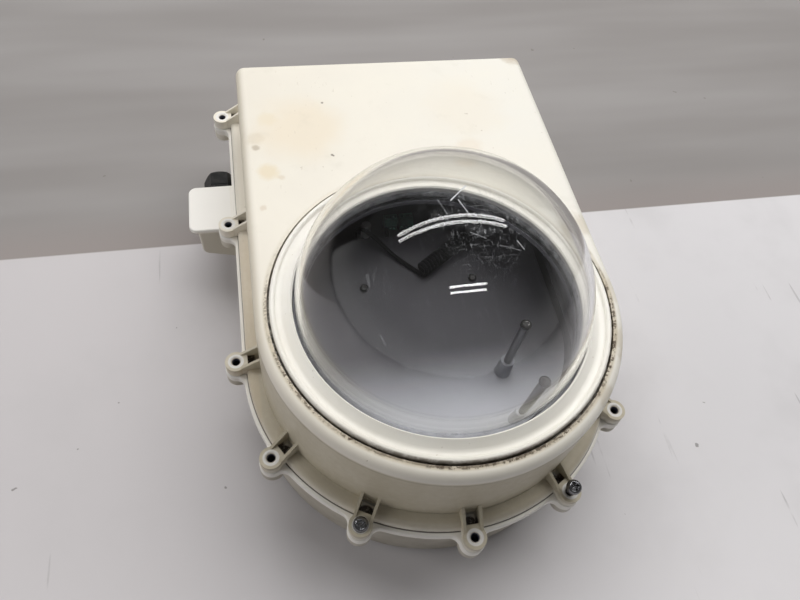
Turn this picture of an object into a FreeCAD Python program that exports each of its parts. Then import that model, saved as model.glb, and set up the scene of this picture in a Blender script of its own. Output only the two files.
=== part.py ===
"""Security camera housing: a clamshell with a clear dome, lying on its back.

Millimetres. The origin is on the dome's axis, on the outer face of the back shell.
+Z points up out of the dome and +Y towards the straight end that goes to the wall.
"""
import FreeCAD, Part
import math
import os

os.makedirs("parts", exist_ok=True)

V = FreeCAD.Vector
UP = V(0, 0, 1)
AXIS = V(0, 0, 0)

# Dome, its seat and its gasket
dome_radius = 91.8
dome_wall = 3.0
dome_skirt = 6.0
dome_flange_width = 9.2
dome_flange_thickness = 3.0
dome_seat_clearance = 0.5
dome_gasket_thickness = 2.0
dome_ledge_thickness = 3.5
dome_ledge_lap = 1.8

# Clamping ring and its screws
ring_gap = 1.4
ring_width = 13.8
ring_height = 7.3
ring_bead_radius = 1.8
ring_cove_drop = 0.5
ring_cove_width = 4.4
ring_face_rise = 3.0
ring_lip_bevel = 1.0
ring_recess_depth = 5.3
ring_recess_clearance = 1.4
ring_screw_count = 8
ring_screw_radius = 1.3
ring_screw_head_radius = 2.6
ring_screw_head_height = 2.0
ring_screw_bite = 4.0
screw_hole_clearance = 0.3

# Front cover
wall = 3.5
cover_margin = 10.0
cover_end_y = 233.8
cover_height = 66.8
cover_draft = 0.7
cover_end_draft = 2.5
cover_edge_round = 7.0
cover_corner_round = 7.0
flange_overhang = 9.3
flange_end_overhang = 16.2
flange_thickness = 5.5
flange_edge_round = 4.0
flange_corner_round = 11.0

# Back shell
split_gap = 0.5
back_depth = 60.0
back_inset = 1.0
back_draft = 1.5
back_floor_round = 7.0
lip_ledge = 2.7
lip_thickness = 6.0
lip_reach_in = 7.0
lip_corner_round = 12.0
lip_flare_round = 6.0
lip_edge_round = 1.2

# Screw ears and the lobes under them
ear_offset = 15.7
ear_radius = 7.2
ear_height = 7.5
ear_block_half = 6.2
ear_rib_thickness = 1.8
ear_rib_rise = 10.0
ear_rib_start = 2.9
ear_window_length = 7.8
ear_hole_radius = 2.6
ear_sink_radius = 3.9
ear_sink_depth = 0.9
side_ear_first_y = 3.3
side_ear_end_gap = 9.6
side_ear_count = 3
nose_ear_count = 5
nose_ear_step = 30.0
lobe_radius = 7.8
lobe_depth = 12.0

# Cover screws and their inserts
screw_radius = 2.35
screw_length = 15.5
screw_head_radius = 4.7
screw_head_height = 3.2
screw_lift = 7.0
pan_round = 0.62
cross_width = 1.3
cross_reach = 2.6
cross_depth = 1.8
insert_radius = 3.4
insert_length = 8.0
thread_clearance = 0.1
seated_ear_step = 1
raised_ear_step = 3

# Cover seal
seal_width = 3.0
seal_groove_depth = 2.5
seal_side_clearance = 0.1
seal_proud = 0.2

# Tray, its posts and the camera's standoffs
tray_margin = 4.2
tray_end_y = 92.0
tray_rise = 15.0
tray_thickness = 3.0
tray_rim_depth = 9.0
tray_rim_thickness = 2.5
tray_corner_round = 4.0
tray_screw_x = 40.5
tray_screw_y = 46.5
tray_nose_screw_inset = 22.0
tray_screw_radius = 1.6
tray_screw_length = 12.0
tray_screw_head_radius = 3.2
tray_screw_head_height = 2.2
tray_post_radius = 6.5
post_side_inset = 53.0
post_nose_inset = 27.0
post_pitch = 37.5
post_radius = 2.8
post_height = 61.0
post_boss_radius = 5.6
post_boss_top_radius = 4.6
post_boss_height = 16.0
post_socket_depth = 12.0
post_screw_radius = 1.5
post_screw_length = 7.0
post_screw_head_radius = 3.4
post_screw_head_height = 2.4

# Control board and what is on it, placed from the board's centre
board_x = -12.0
board_y = 139.0
board_width = 118.0
board_length = 62.0
board_thickness = 1.6
board_post_height = 34.9
board_hole_inset = 5.0
board_post_radius = 4.0
board_screw_radius = 1.4
board_screw_length = 8.0
board_screw_head_radius = 2.8
board_screw_head_height = 2.0
terminal_width = 11.4
terminal_depth = 9.0
terminal_height = 10.5
terminal_gap = 2.2
terminal_dx = 1.5
terminal_dy = -12.5
terminal_ways = 3
terminal_mouth_z = 3.0
terminal_mouth_depth = 3.0
terminal_well_depth = 2.0
terminal_well_share = 0.32
terminal_step = 0.6
terminal_shoulder = 0.3
capacitor_radius = 4.0
capacitor_height = 14.0
capacitor_round = 0.6
capacitor_dx = -15.0
capacitor_dy = -15.0
header_inset = 11.0
header_dy = -9.0
header_width = 12.0
header_depth = 8.0
header_height = 7.0
header_wall = 1.2
plug_height = 9.0
plug_overlap = 4.0
plug_clearance = 0.1

# Lead: its route is a list of points, and its curled stretch is one fat tube
lead_radius = 1.6
lead_lift = 0.3
coil_radius = 6.0
coil_start = (1.0, 52.0)
coil_end = (46.0, 83.0)
end_first_run = 10.0
end_last_run = 6.5

# Cable box on the back shell's left side, with its gland
box_out = 37.5
box_y0 = 124.4
box_length = 44.9
box_wall = 3.0
box_top_drop = 0.5
box_plate_thickness = 3.0
box_plate_round = 6.0
box_side_inset = 5.8
box_side_draft = 0.8
box_front_inset = 1.5
box_outer_depth = 31.2
box_inner_depth = 42.0
box_foot_round = 6.0
box_edge_round = 2.5
gland_out = 13.6
gland_drop = 16.5
gland_thread_radius = 8.0
gland_thread_clearance = 0.1
gland_tail = 8.0
gland_tail_bore = 5.5
gland_flat = 23.0
gland_hex_length = 5.0
gland_gasket_thickness = 1.2
gland_gasket_width = 2.5
gland_neck_radius = 8.9
gland_neck_length = 10.0
gland_socket_radius = 7.2
gland_socket_floor = 4.0
gland_seal_clearance = 0.1
gland_bore = 4.5
gland_nut_length = 14.4
gland_nut_chamfer = 2.0
gland_nut_gap = 0.4
gland_nut_mouth = 6.2
gland_nut_shoulder = 3.0
gland_nut_clearance = 0.08
locknut_flat = 21.0
locknut_thickness = 4.5

# Wall-mounting pad on the straight end
pad_half_width = 68.0
pad_low_z = 6.0
pad_hole_radius = 3.25
pad_spacing_x = 100.0
pad_spacing_z = 32.0

# Plan sizes that follow
dome_flange_radius = dome_radius + dome_flange_width
dome_ledge_radius = dome_radius - dome_ledge_lap
ring_inner_radius = dome_radius + ring_gap
ring_radius = ring_inner_radius + ring_width
ring_recess_radius = ring_radius + ring_recess_clearance
ring_screw_circle = (dome_flange_radius + dome_seat_clearance + ring_radius) / 2
dome_boss_radius = ring_recess_radius + wall
cover_half_width = ring_radius + cover_margin
flange_half_width = cover_half_width + flange_overhang
flange_end_y = cover_end_y + flange_end_overhang
back_half_width = flange_half_width - back_inset
back_end_y = flange_end_y - back_inset
lip_half_width = flange_half_width + lip_ledge
lip_end_y = flange_end_y + lip_ledge
lip_inner_half_width = cover_half_width - lip_reach_in
lip_inner_end_y = cover_end_y - lip_reach_in
ear_reach = cover_half_width + ear_offset
side_ear_pitch = (flange_end_y - side_ear_end_gap - side_ear_first_y) / (side_ear_count - 1)
tray_half_width = dome_radius + tray_margin
post_x = tray_half_width - post_side_inset
post_front_y = post_nose_inset - tray_half_width
post_rear_y = post_front_y + post_pitch
box_reach = back_half_width + box_out
box_y1 = box_y0 + box_length
gland_x = -back_half_width - gland_out
terminal_left_x = board_x + terminal_dx
terminal_y = board_y + terminal_dy
header_x = board_x + board_width / 2 - header_inset
header_y = board_y + header_dy

# Heights that follow
cover_low_z = back_depth + split_gap
cover_top_z = cover_low_z + cover_height
flange_top_z = cover_low_z + flange_thickness
ear_top_z = cover_low_z + ear_height
ring_low_z = cover_top_z - ring_recess_depth
dome_centre_z = ring_low_z + dome_skirt
dome_ledge_z = ring_low_z - dome_flange_thickness - dome_gasket_thickness
lip_low_z = back_depth - lip_thickness
tray_top_z = cover_low_z + tray_rise
board_top_z = wall + board_post_height + board_thickness
gland_axis_z = back_depth - gland_drop
box_plate_z = back_depth - box_top_drop - box_plate_thickness
pad_centre_z = (pad_low_z + lip_low_z) / 2


def save(name, shape):
    """Writes one piece under its node's name."""
    if not shape.isValid():
        print("not valid:", name)
    shape.exportStep("parts/" + name + ".step")
    print(name, "solids", len(shape.Solids), "volume", round(shape.Volume, 1))


def fuse_all(shapes):
    """Joins a list of solids into one and merges faces that continue each other."""
    return shapes[0].multiFuse(shapes[1:]).removeSplitter()


def cylinder(radius, z0, z1, x=0.0, y=0.0):
    """Upright cylinder between two heights."""
    return Part.makeCylinder(radius, z1 - z0, V(x, y, z0), UP)


def box(x0, x1, y0, y1, z0, z1):
    """Box between two corners."""
    return Part.makeBox(x1 - x0, y1 - y0, z1 - z0, V(x0, y0, z0))


def turned(points, centre=AXIS, axis=UP):
    """Solid of revolution from (radius, height) corners, turned about an axis."""
    corners = [V(radius, 0, height) for radius, height in points]
    corners.append(corners[0])
    solid = Part.Face(Part.makePolygon(corners)).revolve(V(0, 0, 0), UP, 360)
    turn = FreeCAD.Rotation(UP, axis)
    solid.Placement = FreeCAD.Placement(centre, turn)
    return solid


def prism(corners, direction):
    """Solid pushed out from a flat outline."""
    return Part.Face(Part.makePolygon(corners + [corners[0]])).extrude(direction)


def hexagon(flat, length, centre, axis):
    """Hexagonal bar across its flats, starting at centre and running along axis."""
    radius = flat / math.sqrt(3)
    corners = []
    for step in range(6):
        angle = math.radians(60 * step)
        corners.append(V(radius * math.cos(angle), radius * math.sin(angle), 0))
    bar = prism(corners, V(0, 0, length))
    bar.Placement = FreeCAD.Placement(centre, FreeCAD.Rotation(UP, axis))
    return bar


def d_prism(half_width, end_y, corner_round, z0, z1):
    """Upright slab: a half circle on the nose, straight sides and a straight far end."""
    nose = Part.Arc(V(-half_width, 0, z0), V(0, -half_width, z0), V(half_width, 0, z0)).toShape()
    right = V(half_width, 0, z0)
    left = V(-half_width, 0, z0)
    inset = corner_round
    slope = corner_round * (1 - math.sqrt(0.5))
    side_r = V(half_width, end_y - inset, z0)
    mid_r = V(half_width - slope, end_y - slope, z0)
    end_r = V(half_width - inset, end_y, z0)
    end_l = V(inset - half_width, end_y, z0)
    mid_l = V(slope - half_width, end_y - slope, z0)
    side_l = V(-half_width, end_y - inset, z0)
    edges = [nose, Part.makeLine(right, side_r), Part.Arc(side_r, mid_r, end_r).toShape()]
    edges += [Part.makeLine(end_r, end_l), Part.Arc(end_l, mid_l, side_l).toShape(), Part.makeLine(side_l, left)]
    return Part.Face(Part.Wire(edges)).extrude(V(0, 0, z1 - z0))


def d_tub(low_half, high_half, low_end, high_end, z0, z1):
    """Drafted body of the same outline: a cone on the nose and sloped flat sides."""
    nose = Part.makeCone(low_half, high_half, z1 - z0, V(0, 0, z0), UP)
    across = [V(-low_half, 0, z0), V(low_half, 0, z0), V(high_half, 0, z1), V(-high_half, 0, z1)]
    reach = max(low_half, high_half)
    along = [V(-reach, 0, z0), V(-reach, low_end, z0), V(-reach, high_end, z1), V(-reach, 0, z1)]
    sides = prism(across, V(0, max(low_end, high_end), 0))
    ends = prism(along, V(2 * reach, 0, 0))
    return nose.fuse(sides.common(ends)).removeSplitter()


def edges_at(shape, test):
    """Edges whose middle point and ends pass a test."""
    found = []
    for edge in shape.Edges:
        middle = edge.valueAt((edge.FirstParameter + edge.LastParameter) / 2)
        if test(middle, edge):
            found.append(edge)
    return found


def is_upright(edge, limit=0.8):
    """True for an edge that runs mostly along Z."""
    if len(edge.Vertexes) < 2:
        return False
    run = edge.Vertexes[-1].Point - edge.Vertexes[0].Point
    return run.Length > 0 and abs(run.z) / run.Length > limit


def round_far_corners(shape, radius, end_y):
    """Rounds the two upright edges at the straight end."""
    near = radius + 4.0
    edges = edges_at(shape, lambda mid, edge: is_upright(edge) and mid.y > end_y - near)
    return shape.makeFillet(radius, edges)


def round_level(shape, radius, z):
    """Rounds the outline's edges at one height."""
    slack = 0.01

    def at_level(mid, edge):
        return all(abs(vertex.Z - z) < slack for vertex in edge.Vertexes) and abs(mid.z - z) < slack
    return shape.makeFillet(radius, edges_at(shape, at_level))


def ear_places():
    """Hole axis and outward angle of each ear, nose first, then the two sides."""
    places = []
    first = 270.0 - nose_ear_step * (nose_ear_count - 1) / 2
    for step in range(nose_ear_count):
        angle = math.radians(first + nose_ear_step * step)
        places.append((ear_reach * math.cos(angle), ear_reach * math.sin(angle), math.degrees(angle)))
    for side, angle in ((-1, 180.0), (1, 0.0)):
        for step in range(side_ear_count):
            places.append((side * ear_reach, side_ear_first_y + side_ear_pitch * step, angle))
    return places


def placed(shape, x, y, angle):
    """Copy of a shape drawn at the origin with its outward side to +X."""
    copy = shape.copy()
    copy.Placement = FreeCAD.Placement(V(x, y, 0), FreeCAD.Rotation(UP, angle))
    return copy


def ear_solid():
    """One ear: a round lobe, the block behind it and two ribs that rise to the wall."""
    inward = ear_offset + wall / 2
    lobe = cylinder(ear_radius, cover_low_z, ear_top_z)
    block = box(-inward, 0, -ear_block_half, ear_block_half, cover_low_z, ear_top_z)
    parts = [lobe, block]
    for side in (-1, 1):
        outer = side * ear_block_half
        inner = side * (ear_block_half - ear_rib_thickness)
        profile = [V(-ear_rib_start, inner, ear_top_z), V(-inward, inner, ear_top_z)]
        profile.append(V(-inward, inner, ear_top_z + ear_rib_rise))
        parts.append(prism(profile, V(0, outer - inner, 0)))
    return fuse_all(parts)


def ear_window():
    """Opening between an ear's ribs, from the pad's edge to the wall."""
    half = ear_block_half - ear_rib_thickness
    reach = ear_offset - screw_hole_clearance
    return box(-reach, ear_window_length - reach, -half, half, cover_low_z - 1, ear_top_z + ear_rib_rise)


def ear_hole():
    """Screw hole of an ear with its shallow countersink."""
    hole = cylinder(ear_hole_radius, cover_low_z - 1, ear_top_z + 1)
    sink_low = ear_top_z - ear_sink_depth
    sink = Part.makeCone(ear_hole_radius, ear_sink_radius, ear_sink_depth, V(0, 0, sink_low), UP)
    return hole.fuse(sink)


def ring_screw_places():
    """Centres of the dome ring's screws."""
    places = []
    for step in range(ring_screw_count):
        angle = math.radians(360.0 / ring_screw_count * (step + 0.5))
        places.append((ring_screw_circle * math.cos(angle), ring_screw_circle * math.sin(angle)))
    return places


def make_front_cover():
    """Upper clamshell: drafted tray with a bull-nose edge, flange, ears and the dome's seat."""
    top_half = cover_half_width - cover_draft
    top_end = cover_end_y - cover_end_draft
    outer = d_tub(cover_half_width, top_half, cover_end_y, top_end, cover_low_z, cover_top_z)
    outer = round_far_corners(outer, cover_corner_round, cover_end_y)
    outer = round_level(outer, cover_edge_round, cover_top_z)
    roof_z = cover_top_z - wall
    inner = d_tub(cover_half_width - wall, top_half - wall, cover_end_y - wall, top_end - wall,
                  cover_low_z, roof_z)
    inner = round_far_corners(inner, cover_corner_round - wall, cover_end_y - wall)
    inner = round_level(inner, cover_edge_round - wall, roof_z)
    flange = d_prism(flange_half_width, flange_end_y, flange_corner_round, cover_low_z, flange_top_z)
    flange = round_level(flange, flange_edge_round, flange_top_z)
    ear = ear_solid()
    ears = [placed(ear, *place) for place in ear_places()]
    body = fuse_all([outer, flange] + ears).cut(inner)
    boss = cylinder(dome_boss_radius, dome_ledge_z - dome_ledge_thickness, roof_z + wall / 2)
    body = body.fuse(boss)
    cuts = [cylinder(dome_ledge_radius, 0, cover_top_z + 1)]
    cuts.append(cylinder(dome_flange_radius + dome_seat_clearance, dome_ledge_z, cover_top_z + 1))
    cuts.append(cylinder(ring_recess_radius, ring_low_z, cover_top_z + 1))
    window = ear_window()
    hole = ear_hole()
    for place in ear_places():
        cuts.append(placed(window, *place))
        cuts.append(placed(hole, *place))
    for x, y in ring_screw_places():
        cuts.append(cylinder(ring_screw_radius + screw_hole_clearance, 0, cover_top_z, x, y))
    return body.cut(cuts)


def make_dome():
    """Clear hemisphere with a short skirt and a flat flange."""
    inner = dome_radius - dome_wall
    flange_low = ring_low_z - dome_flange_thickness
    foot = [V(inner, 0, flange_low), V(dome_flange_radius, 0, flange_low)]
    foot += [V(dome_flange_radius, 0, ring_low_z), V(dome_radius, 0, ring_low_z), V(dome_radius, 0, dome_centre_z)]
    edges = [Part.makeLine(foot[i], foot[i + 1]) for i in range(len(foot) - 1)]
    lean = math.sqrt(0.5)
    crown_out = V(0, 0, dome_centre_z + dome_radius)
    crown_in = V(0, 0, dome_centre_z + inner)
    side_out = V(dome_radius * lean, 0, dome_centre_z + dome_radius * lean)
    side_in = V(inner * lean, 0, dome_centre_z + inner * lean)
    foot_in = V(inner, 0, dome_centre_z)
    edges.append(Part.Arc(foot[-1], side_out, crown_out).toShape())
    edges.append(Part.makeLine(crown_out, crown_in))
    edges.append(Part.Arc(crown_in, side_in, foot_in).toShape())
    edges.append(Part.makeLine(foot_in, foot[0]))
    return Part.Face(Part.Wire(edges)).revolve(AXIS, UP, 360)


def make_dome_gasket():
    """Flat rubber ring under the dome's flange."""
    low = dome_ledge_z
    ring = cylinder(dome_flange_radius, low, low + dome_gasket_thickness)
    return ring.cut(cylinder(dome_radius, low - 1, low + dome_gasket_thickness + 1))


def make_dome_ring():
    """Clamping ring: a raised round bead outside, a cove, and a face that rises from it to the dome."""
    top = ring_low_z + ring_height
    bead_z = top - ring_bead_radius
    bead_r = ring_radius - ring_bead_radius
    bead_end = V(ring_radius - 2 * ring_bead_radius, 0, bead_z)
    cove_out = V(bead_end.x, 0, bead_z - ring_cove_drop)
    cove_in = V(cove_out.x - ring_cove_width, 0, cove_out.z)
    face_in = V(ring_inner_radius + ring_lip_bevel, 0, cove_in.z + ring_face_rise)
    slope = math.atan2(ring_face_rise, cove_in.x - face_in.x)
    cove_low = V((cove_out.x + cove_in.x) / 2, 0, cove_out.z - ring_cove_width / 2 * math.tan(slope / 2))
    lip = V(ring_inner_radius, 0, face_in.z - ring_lip_bevel)
    start = V(ring_radius, 0, ring_low_z)
    bead_start = V(ring_radius, 0, bead_z)
    foot = V(ring_inner_radius, 0, ring_low_z)
    edges = [Part.makeLine(start, bead_start)]
    edges.append(Part.Arc(bead_start, V(bead_r, 0, top), bead_end).toShape())
    edges.append(Part.makeLine(bead_end, cove_out))
    edges.append(Part.Arc(cove_out, cove_low, cove_in).toShape())
    edges.append(Part.makeLine(cove_in, face_in))
    edges.append(Part.makeLine(face_in, lip))
    edges.append(Part.makeLine(lip, foot))
    edges.append(Part.makeLine(foot, start))
    ring = Part.Face(Part.Wire(edges)).revolve(AXIS, UP, 360)
    for x, y in ring_screw_places():
        ring = ring.cut(cylinder(ring_screw_radius, ring_low_z - 1, ring_low_z + ring_screw_bite, x, y))
    return ring


def make_ring_screws():
    """Screws that come up from inside and hold the dome ring down."""
    seat = dome_ledge_z - dome_ledge_thickness
    screws = []
    for x, y in ring_screw_places():
        shank = cylinder(ring_screw_radius, seat, ring_low_z + ring_screw_bite, x, y)
        head = cylinder(ring_screw_head_radius, seat - ring_screw_head_height, seat, x, y)
        screws.append(fuse_all([head, shank]))
    return Part.makeCompound(screws)


def pan_screw(x, y, seat, radius, length, head_radius, head_height, cross=True):
    """Pan-head screw with its head on a seat at one height, pointing down."""
    shank = cylinder(radius, seat - length, seat, x, y)
    head = cylinder(head_radius, seat, seat + head_height, x, y)
    head = round_level(head, head_height * pan_round, seat + head_height)
    screw = fuse_all([head, shank])
    if cross:
        top = seat + head_height
        long = cross_reach
        half = cross_width / 2
        screw = screw.cut(box(x - long, x + long, y - half, y + half, top - cross_depth, top + 1))
        screw = screw.cut(box(x - half, x + half, y - long, y + long, top - cross_depth, top + 1))
    return screw


def cover_screw(ear, lift):
    """Cover screw in one ear, at a height above its seat."""
    x, y, _ = ear_places()[ear]
    return pan_screw(x, y, ear_top_z + lift, screw_radius, screw_length, screw_head_radius, screw_head_height)


def box_trunk(inset, inner_x, y0, y1, foot_round):
    """Cable box under its plate, drawn in by one amount: its underside slopes down to the shell."""
    left = -box_reach + box_side_inset + inset
    high_foot = back_depth - box_outer_depth + inset
    low_foot = back_depth - box_inner_depth + inset
    corners = [V(left, y0, box_plate_z), V(left + box_side_draft, y0, high_foot)]
    corners += [V(inner_x, y0, low_foot), V(inner_x, y0, box_plate_z)]
    trunk = prism(corners, V(0, y1 - y0, 0))
    foot = edges_at(trunk, lambda mid, edge: abs(mid.z - high_foot) < 0.01 and mid.x < left + 1)
    return trunk.makeFillet(foot_round, foot)


def cable_box():
    """Moulded cable box: a plate with round corners on a narrower trunk, up to the shell's wall."""
    inner_x = -back_half_width + wall
    front = box_y0 + box_front_inset
    trunk = box_trunk(0, inner_x, front, box_y1, box_foot_round)

    def on_front(mid, edge):
        return abs(mid.y - front) < 0.01 and mid.z < box_plate_z - 1 and mid.x < inner_x - 1
    trunk = trunk.makeFillet(box_edge_round, edges_at(trunk, on_front))
    plate = box(-box_reach, inner_x, box_y0, box_y1, box_plate_z, back_depth - box_top_drop)
    outer = edges_at(plate, lambda mid, edge: is_upright(edge) and mid.x < -box_reach + 1)
    plate = plate.makeFillet(box_plate_round, outer)
    return fuse_all([trunk, round_level(plate, lip_edge_round, back_depth - box_top_drop)])


def lobe_solid():
    """Lobe under one ear, with a web to the shell's wall."""
    low = back_depth - lobe_depth
    inward = ear_reach - back_half_width + wall
    lobe = cylinder(lobe_radius, low, lip_low_z)
    return fuse_all([lobe, box(-inward, 0, -ear_block_half, ear_block_half, low, lip_low_z)])


def lip_outline():
    """Lip slab with its lobes, flared where they join."""
    slab = d_prism(lip_half_width, lip_end_y, lip_corner_round, lip_low_z, back_depth)
    lobes = [cylinder(lobe_radius, lip_low_z, back_depth, x, y) for x, y, _ in ear_places()]
    slab = fuse_all([slab] + lobes)

    def beside_lobe(mid, edge):
        if not is_upright(edge):
            return False
        for x, y, _ in ear_places():
            if abs(math.hypot(mid.x - x, mid.y - y) - lobe_radius) < 0.05:
                return True
        return False
    flared = slab.makeFillet(lip_flare_round, edges_at(slab, beside_lobe))
    return round_level(flared, lip_edge_round, back_depth)


def tray_post_places():
    """Centres of the posts that carry the tray."""
    return [(-tray_screw_x, tray_screw_y), (tray_screw_x, tray_screw_y), (0.0, tray_nose_screw_inset - tray_half_width)]


def board_corners():
    """Centres of the board's four fixing holes."""
    dx = board_width / 2 - board_hole_inset
    dy = board_length / 2 - board_hole_inset
    return [(board_x + i * dx, board_y + j * dy) for i in (-1, 1) for j in (-1, 1)]


def seal_ring(half_band, z0, z1):
    """Band that follows the cover wall's middle line, with a given half width."""
    middle = cover_half_width - wall / 2
    end = cover_end_y - wall / 2
    corner = cover_corner_round - wall / 2
    outer = d_prism(middle + half_band, end + half_band, corner + half_band, z0, z1)
    return outer.cut(d_prism(middle - half_band, end - half_band, corner - half_band, z0 - 1, z1 + 1))


def make_back_shell():
    """Lower clamshell: drafted tub, lip with lobes, cable box, tray posts and mounting pad."""
    low_half = back_half_width - back_draft
    outer = d_tub(low_half, back_half_width, back_end_y, back_end_y, 0, back_depth)
    outer = round_far_corners(outer, lip_corner_round - wall, back_end_y)
    outer = round_level(outer, back_floor_round, 0)
    inner = d_tub(low_half - wall, back_half_width - wall, back_end_y - wall, back_end_y - wall, wall, back_depth + 1)
    inner = round_far_corners(inner, lip_corner_round - 2 * wall, back_end_y - wall)
    inner = round_level(inner, back_floor_round - wall, wall)
    lobe = lobe_solid()
    lobes = [placed(lobe, *place) for place in ear_places()]
    shell = fuse_all([outer, cable_box()] + lobes).cut(inner)
    pad = box(-pad_half_width, pad_half_width, back_end_y - wall, lip_end_y, pad_low_z, lip_low_z)
    rim = lip_outline().cut(d_prism(lip_inner_half_width, lip_inner_end_y, lip_corner_round, lip_low_z - 1,
                                    back_depth + 1))
    posts = []
    for x, y in tray_post_places():
        posts.append(cylinder(tray_post_radius, wall / 2, tray_top_z - tray_thickness, x, y))
    for x, y in board_corners():
        posts.append(cylinder(board_post_radius, wall / 2, board_top_z - board_thickness, x, y))
    shell = fuse_all([shell, pad, rim] + posts)
    cuts = [seal_ring(seal_width / 2, back_depth - seal_groove_depth, back_depth + 1)]
    for x, y, _ in ear_places():
        cuts.append(cylinder(insert_radius, back_depth - insert_length, back_depth + 1, x, y))
    for x, y in tray_post_places():
        cuts.append(cylinder(tray_screw_radius, tray_top_z - tray_screw_length, tray_top_z, x, y))
    for x, y in board_corners():
        cuts.append(cylinder(board_screw_radius, board_top_z - board_screw_length, board_top_z, x, y))
    for i in (-1, 1):
        for j in (-1, 1):
            start = V(i * pad_spacing_x / 2, back_end_y - 2 * wall, pad_centre_z + j * pad_spacing_z / 2)
            cuts.append(Part.makeCylinder(pad_hole_radius, 4 * wall, start, V(0, 1, 0)))
    cuts.append(box_trunk(box_wall, -back_half_width + 2 * wall, box_y0 + box_front_inset + box_wall,
                          box_y1 - box_wall, box_foot_round - box_wall))
    entry = V(gland_x, box_y1 - 2 * box_wall, gland_axis_z)
    cuts.append(Part.makeCylinder(gland_thread_radius + gland_thread_clearance, 3 * box_wall, entry, V(0, 1, 0)))
    return shell.cut(cuts)


def make_cover_gasket():
    """Rubber cord in the lip's groove."""
    low = back_depth - seal_groove_depth
    return seal_ring(seal_width / 2 - seal_side_clearance, low, back_depth + seal_proud)


def make_threaded_inserts():
    """Brass inserts in the lobes, one under each ear."""
    bore = screw_radius + thread_clearance
    low = back_depth - insert_length
    inserts = []
    for x, y, _ in ear_places():
        sleeve = cylinder(insert_radius, low, back_depth, x, y)
        inserts.append(sleeve.cut(cylinder(bore, low - 1, back_depth + 1, x, y)))
    return Part.makeCompound(inserts)


def make_camera_tray():
    """D-shaped tray with a turned-down rim and two bosses for the camera's posts."""
    low = tray_top_z - tray_rim_depth
    body = d_prism(tray_half_width, tray_end_y, tray_corner_round, low, tray_top_z)
    inset = tray_rim_thickness
    hollow = d_prism(tray_half_width - inset, tray_end_y - inset, tray_corner_round - inset, low - 1,
                     tray_top_z - tray_thickness)
    body = body.cut(hollow)
    bosses = []
    for y in (post_rear_y, post_front_y):
        bosses.append(Part.makeCone(post_boss_radius, post_boss_top_radius, post_boss_height,
                                    V(post_x, y, tray_top_z), UP))
    body = fuse_all([body] + bosses)
    for y in (post_rear_y, post_front_y):
        boss_top = tray_top_z + post_boss_height
        body = body.cut(cylinder(post_radius, boss_top - post_socket_depth, boss_top + 1, post_x, y))
    for x, y in tray_post_places():
        body = body.cut(cylinder(tray_screw_radius + screw_hole_clearance, low, tray_top_z + 1, x, y))
    return body


def make_standoff(y):
    """Round metal post, pressed into its boss and tapped at the top."""
    low = tray_top_z + post_boss_height - post_socket_depth
    top = tray_top_z + post_height
    post = cylinder(post_radius, low, top, post_x, y)
    return post.cut(cylinder(post_screw_radius, top - post_screw_length, top + 1, post_x, y))


def make_standoff_screws():
    """Dark pan-head screws on top of the posts."""
    top = tray_top_z + post_height
    screws = []
    for y in (post_rear_y, post_front_y):
        screws.append(pan_screw(post_x, y, top, post_screw_radius, post_screw_length, post_screw_head_radius,
                                post_screw_head_height, False))
    return Part.makeCompound(screws)


def make_tray_screws():
    """Screws that hold the tray on its posts."""
    screws = []
    for x, y in tray_post_places():
        screws.append(pan_screw(x, y, tray_top_z, tray_screw_radius, tray_screw_length, tray_screw_head_radius,
                                tray_screw_head_height, False))
    return Part.makeCompound(screws)


def make_control_board():
    """Printed board with a hole in each corner."""
    low = board_top_z - board_thickness
    board = box(board_x - board_width / 2, board_x + board_width / 2, board_y - board_length / 2,
                board_y + board_length / 2, low, board_top_z)
    for x, y in board_corners():
        board = board.cut(cylinder(board_screw_radius + screw_hole_clearance, low - 1, board_top_z + 1, x, y))
    return board


def make_board_screws():
    """Small screws in the board's corners."""
    screws = []
    for x, y in board_corners():
        screws.append(pan_screw(x, y, board_top_z, board_screw_radius, board_screw_length, board_screw_head_radius,
                                board_screw_head_height, False))
    return Part.makeCompound(screws)


def make_terminal(x0):
    """Terminal block: a stepped body with screw wells on top and wire mouths in front."""
    y0 = terminal_y
    top = board_top_z + terminal_height
    side = [V(x0, y0, board_top_z), V(x0, y0 + terminal_depth, board_top_z), V(x0, y0 + terminal_depth, top)]
    side += [V(x0, y0 + terminal_depth * terminal_shoulder, top)]
    side += [V(x0, y0, board_top_z + terminal_height * terminal_step)]
    body = prism(side, V(terminal_width, 0, 0))
    pitch = terminal_width / terminal_ways
    well = pitch * terminal_well_share
    well_y = y0 + terminal_depth * (1 + terminal_shoulder) / 2
    for way in range(terminal_ways):
        x = x0 + pitch * (way + 0.5)
        body = body.cut(cylinder(well, top - terminal_well_depth, top + 1, x, well_y))
        low = board_top_z + terminal_mouth_z - well
        body = body.cut(box(x - well, x + well, y0 - 1, y0 + terminal_mouth_depth, low, low + 2 * well))
    return body


def make_capacitor():
    """Upright can with a rounded top edge."""
    top = board_top_z + capacitor_height
    can = cylinder(capacitor_radius, board_top_z, top, board_x + capacitor_dx, board_y + capacitor_dy)
    return round_level(can, capacitor_round, top)


def header_block(z0, z1, grow):
    """Upright block on the header's place."""
    half_x = header_width / 2 + grow
    half_y = header_depth / 2 + grow
    return box(header_x - half_x, header_x + half_x, header_y - half_y, header_y + half_y, z0, z1)


def make_board_header():
    """Socket on the board that the lead plugs into."""
    top = board_top_z + header_height
    floor = top - plug_overlap
    return header_block(board_top_z, top, 0).cut(header_block(floor, top + 1, -header_wall))


def make_lead_plug():
    """Plug on the end of the lead, standing in its socket."""
    floor = board_top_z + header_height - plug_overlap
    return header_block(floor, floor + plug_height, -header_wall - plug_clearance)


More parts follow.
